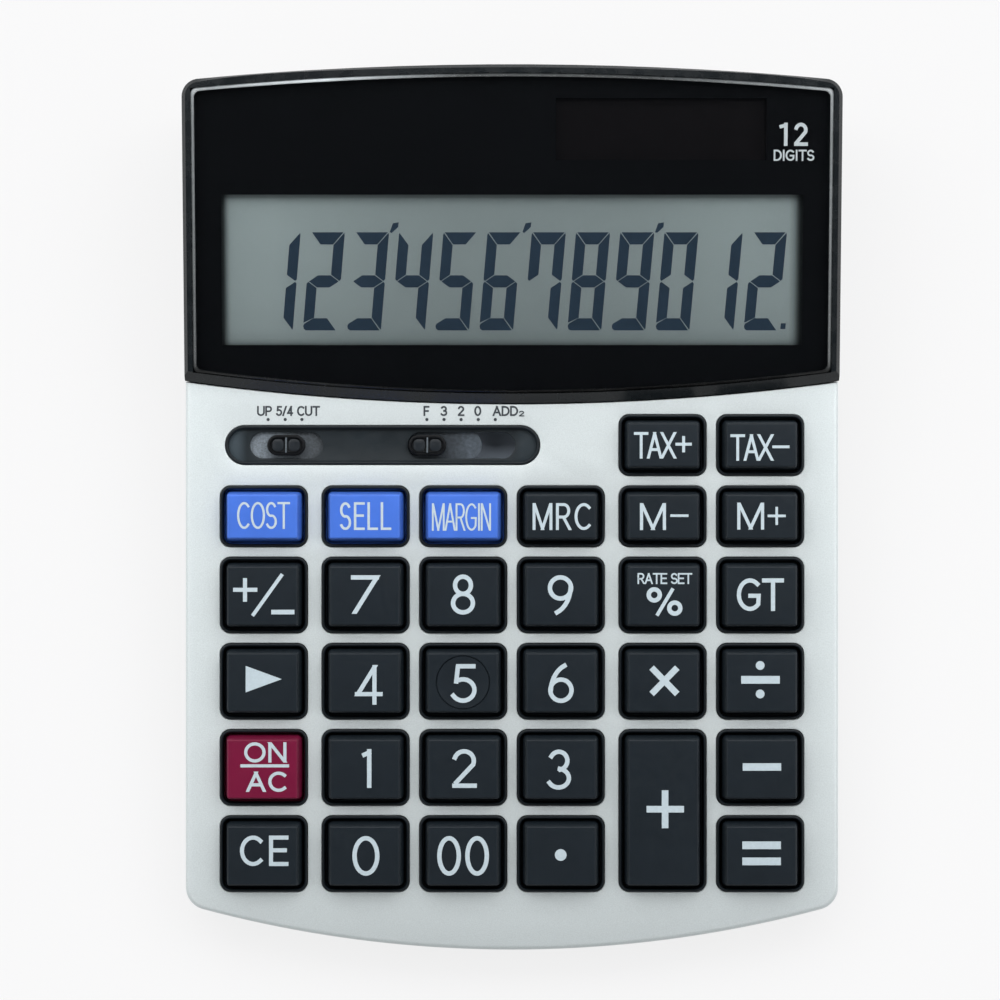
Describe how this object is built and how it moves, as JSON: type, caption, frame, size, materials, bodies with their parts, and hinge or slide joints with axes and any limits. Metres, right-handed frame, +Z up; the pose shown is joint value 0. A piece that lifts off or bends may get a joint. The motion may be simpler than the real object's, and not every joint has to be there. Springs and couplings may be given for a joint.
{
  "type": "desktop calculator",
  "caption": "Desktop calculator with a raised glossy display hood, pressable keys, sliding selector switches and a sliding battery cover.",
  "frame": {"origin": "middle of the footprint's bounding box, on the table under the rubber feet", "axes": "+X to the user's right, +Y from the user's edge to the rear edge, +Z up"},
  "size_m": [0.149, 0.2007, 0.0353],
  "materials": {
    "silver_shell": "satin silver plastic",
    "black_gloss": "gloss",
    "dark_tub": "fine texture",
    "frame_black": "satin",
    "key_black": "satin",
    "key_blue": "satin",
    "key_red": "satin",
    "window": "gloss",
    "mask_print": "flat print",
    "lcd_glass": "polarised glass",
    "solar_dark": "dark silicon under glass",
    "ribbon_film": "thin film",
    "wire_sleeve": "gloss",
    "board": "phenolic board",
    "resin": "gloss",
    "can": "satin",
    "silicone": "matte",
    "knob_black": "satin",
    "shield_grey": "fine texture",
    "spring_metal": "sprung strip",
    "contact_steel": "nickel plated",
    "cell_steel": "bright",
    "foot_rubber": "matte",
    "screw_steel": "zinc"
  },
  "bodies": {
    "case": {"lower_case": "dark_tub", "upper_case": "silver_shell", "display_hood": "black_gloss", "display_window": "window", "window_mask": "mask_print", "lcd_panel": "lcd_glass", "lcd_ribbon": "ribbon_film", "solar_cell": "solar_dark", "solar_leads": "wire_sleeve", "key_frame": "frame_black", "key_mat": "silicone", "main_pcb": "board", "processor_blob": "resin", "buffer_capacitor": "can", "battery_cell": "cell_steel", "battery_contact_plus": "contact_steel", "battery_contact_minus": "contact_steel", "battery_leads": "wire_sleeve", "rubber_feet": "foot_rubber", "case_screws": "screw_steel"},
    "battery_door": {"battery_cover": "dark_tub"},
    "rounding_selector": {"rounding_knob": "knob_black", "rounding_shield": "shield_grey", "rounding_wiper": "spring_metal"},
    "decimal_selector": {"decimal_knob": "knob_black", "decimal_shield": "shield_grey", "decimal_wiper": "spring_metal"},
    "key_clear_entry": {"key_clear_entry": "key_black"},
    "key_0": {"key_0": "key_black"},
    "key_00": {"key_00": "key_black"},
    "key_point": {"key_point": "key_black"},
    "key_equals": {"key_equals": "key_black"},
    "key_on_clear": {"key_on_clear": "key_red"},
    "key_1": {"key_1": "key_black"},
    "key_2": {"key_2": "key_black"},
    "key_3": {"key_3": "key_black"},
    "key_minus": {"key_minus": "key_black"},
    "key_shift_right": {"key_shift_right": "key_black"},
    "key_4": {"key_4": "key_black"},
    "key_5": {"key_5": "key_black"},
    "key_6": {"key_6": "key_black"},
    "key_times": {"key_times": "key_black"},
    "key_divide": {"key_divide": "key_black"},
    "key_sign": {"key_sign": "key_black"},
    "key_7": {"key_7": "key_black"},
    "key_8": {"key_8": "key_black"},
    "key_9": {"key_9": "key_black"},
    "key_rate_set": {"key_rate_set": "key_black"},
    "key_grand_total": {"key_grand_total": "key_black"},
    "key_cost": {"key_cost": "key_blue"},
    "key_sell": {"key_sell": "key_blue"},
    "key_margin": {"key_margin": "key_blue"},
    "key_memory_recall": {"key_memory_recall": "key_black"},
    "key_memory_minus": {"key_memory_minus": "key_black"},
    "key_memory_plus": {"key_memory_plus": "key_black"},
    "key_tax_plus": {"key_tax_plus": "key_black"},
    "key_tax_minus": {"key_tax_minus": "key_black"},
    "key_plus": {"key_plus": "key_black"}
  },
  "joints": [
    {"name": "battery_cover_slide", "type": "slide", "parent": "case", "child": "battery_door", "axis": [0, 1, 0], "range_m": [0, 0.03]},
    {"name": "rounding_selector_slide", "type": "slide", "parent": "case", "child": "rounding_selector", "axis": [1, 0, 0], "range_m": [-0.0039, 0.0039]},
    {"name": "decimal_selector_slide", "type": "slide", "parent": "case", "child": "decimal_selector", "axis": [1, 0, 0], "range_m": [0, 0.0156]},
    {"name": "key_clear_entry_press", "type": "slide", "parent": "case", "child": "key_clear_entry", "axis": [0, 0.0698, -0.9976], "range_m": [0, 0.0016], "stiffness_N_per_m": 250, "springref_m": -0.0005, "deforming": ["key_mat"]},
    {"name": "key_0_press", "type": "slide", "parent": "case", "child": "key_0", "axis": [0, 0.0698, -0.9976], "range_m": [0, 0.0016], "stiffness_N_per_m": 250, "springref_m": -0.0005},
    {"name": "key_00_press", "type": "slide", "parent": "case", "child": "key_00", "axis": [0, 0.0698, -0.9976], "range_m": [0, 0.0016], "stiffness_N_per_m": 250, "springref_m": -0.0005},
    {"name": "key_point_press", "type": "slide", "parent": "case", "child": "key_point", "axis": [0, 0.0698, -0.9976], "range_m": [0, 0.0016], "stiffness_N_per_m": 250, "springref_m": -0.0005},
    {"name": "key_equals_press", "type": "slide", "parent": "case", "child": "key_equals", "axis": [0, 0.0698, -0.9976], "range_m": [0, 0.0016], "stiffness_N_per_m": 250, "springref_m": -0.0005},
    {"name": "key_on_clear_press", "type": "slide", "parent": "case", "child": "key_on_clear", "axis": [0, 0.0698, -0.9976], "range_m": [0, 0.0016], "stiffness_N_per_m": 250, "springref_m": -0.0005},
    {"name": "key_1_press", "type": "slide", "parent": "case", "child": "key_1", "axis": [0, 0.0698, -0.9976], "range_m": [0, 0.0016], "stiffness_N_per_m": 250, "springref_m": -0.0005},
    {"name": "key_2_press", "type": "slide", "parent": "case", "child": "key_2", "axis": [0, 0.0698, -0.9976], "range_m": [0, 0.0016], "stiffness_N_per_m": 250, "springref_m": -0.0005},
    {"name": "key_3_press", "type": "slide", "parent": "case", "child": "key_3", "axis": [0, 0.0698, -0.9976], "range_m": [0, 0.0016], "stiffness_N_per_m": 250, "springref_m": -0.0005},
    {"name": "key_minus_press", "type": "slide", "parent": "case", "child": "key_minus", "axis": [0, 0.0698, -0.9976], "range_m": [0, 0.0016], "stiffness_N_per_m": 250, "springref_m": -0.0005},
    {"name": "key_shift_right_press", "type": "slide", "parent": "case", "child": "key_shift_right", "axis": [0, 0.0698, -0.9976], "range_m": [0, 0.0016], "stiffness_N_per_m": 250, "springref_m": -0.0005},
    {"name": "key_4_press", "type": "slide", "parent": "case", "child": "key_4", "axis": [0, 0.0698, -0.9976], "range_m": [0, 0.0016], "stiffness_N_per_m": 250, "springref_m": -0.0005},
    {"name": "key_5_press", "type": "slide", "parent": "case", "child": "key_5", "axis": [0, 0.0698, -0.9976], "range_m": [0, 0.0016], "stiffness_N_per_m": 250, "springref_m": -0.0005},
    {"name": "key_6_press", "type": "slide", "parent": "case", "child": "key_6", "axis": [0, 0.0698, -0.9976], "range_m": [0, 0.0016], "stiffness_N_per_m": 250, "springref_m": -0.0005},
    {"name": "key_times_press", "type": "slide", "parent": "case", "child": "key_times", "axis": [0, 0.0698, -0.9976], "range_m": [0, 0.0016], "stiffness_N_per_m": 250, "springref_m": -0.0005},
    {"name": "key_divide_press", "type": "slide", "parent": "case", "child": "key_divide", "axis": [0, 0.0698, -0.9976], "range_m": [0, 0.0016], "stiffness_N_per_m": 250, "springref_m": -0.0005},
    {"name": "key_sign_press", "type": "slide", "parent": "case", "child": "key_sign", "axis": [0, 0.0698, -0.9976], "range_m": [0, 0.0016], "stiffness_N_per_m": 250, "springref_m": -0.0005},
    {"name": "key_7_press", "type": "slide", "parent": "case", "child": "key_7", "axis": [0, 0.0698, -0.9976], "range_m": [0, 0.0016], "stiffness_N_per_m": 250, "springref_m": -0.0005},
    {"name": "key_8_press", "type": "slide", "parent": "case", "child": "key_8", "axis": [0, 0.0698, -0.9976], "range_m": [0, 0.0016], "stiffness_N_per_m": 250, "springref_m": -0.0005},
    {"name": "key_9_press", "type": "slide", "parent": "case", "child": "key_9", "axis": [0, 0.0698, -0.9976], "range_m": [0, 0.0016], "stiffness_N_per_m": 250, "springref_m": -0.0005},
    {"name": "key_rate_set_press", "type": "slide", "parent": "case", "child": "key_rate_set", "axis": [0, 0.0698, -0.9976], "range_m": [0, 0.0016], "stiffness_N_per_m": 250, "springref_m": -0.0005},
    {"name": "key_grand_total_press", "type": "slide", "parent": "case", "child": "key_grand_total", "axis": [0, 0.0698, -0.9976], "range_m": [0, 0.0016], "stiffness_N_per_m": 250, "springref_m": -0.0005},
    {"name": "key_cost_press", "type": "slide", "parent": "case", "child": "key_cost", "axis": [0, 0.0698, -0.9976], "range_m": [0, 0.0016], "stiffness_N_per_m": 250, "springref_m": -0.0005},
    {"name": "key_sell_press", "type": "slide", "parent": "case", "child": "key_sell", "axis": [0, 0.0698, -0.9976], "range_m": [0, 0.0016], "stiffness_N_per_m": 250, "springref_m": -0.0005},
    {"name": "key_margin_press", "type": "slide", "parent": "case", "child": "key_margin", "axis": [0, 0.0698, -0.9976], "range_m": [0, 0.0016], "stiffness_N_per_m": 250, "springref_m": -0.0005},
    {"name": "key_memory_recall_press", "type": "slide", "parent": "case", "child": "key_memory_recall", "axis": [0, 0.0698, -0.9976], "range_m": [0, 0.0016], "stiffness_N_per_m": 250, "springref_m": -0.0005},
    {"name": "key_memory_minus_press", "type": "slide", "parent": "case", "child": "key_memory_minus", "axis": [0, 0.0698, -0.9976], "range_m": [0, 0.0016], "stiffness_N_per_m": 250, "springref_m": -0.0005},
    {"name": "key_memory_plus_press", "type": "slide", "parent": "case", "child": "key_memory_plus", "axis": [0, 0.0698, -0.9976], "range_m": [0, 0.0016], "stiffness_N_per_m": 250, "springref_m": -0.0005},
    {"name": "key_tax_plus_press", "type": "slide", "parent": "case", "child": "key_tax_plus", "axis": [0, 0.0698, -0.9976], "range_m": [0, 0.0016], "stiffness_N_per_m": 250, "springref_m": -0.0005},
    {"name": "key_tax_minus_press", "type": "slide", "parent": "case", "child": "key_tax_minus", "axis": [0, 0.0698, -0.9976], "range_m": [0, 0.0016], "stiffness_N_per_m": 250, "springref_m": -0.0005},
    {"name": "key_plus_press", "type": "slide", "parent": "case", "child": "key_plus", "axis": [0, 0.0698, -0.9976], "range_m": [0, 0.0016], "stiffness_N_per_m": 250, "springref_m": -0.0005}
  ]
}
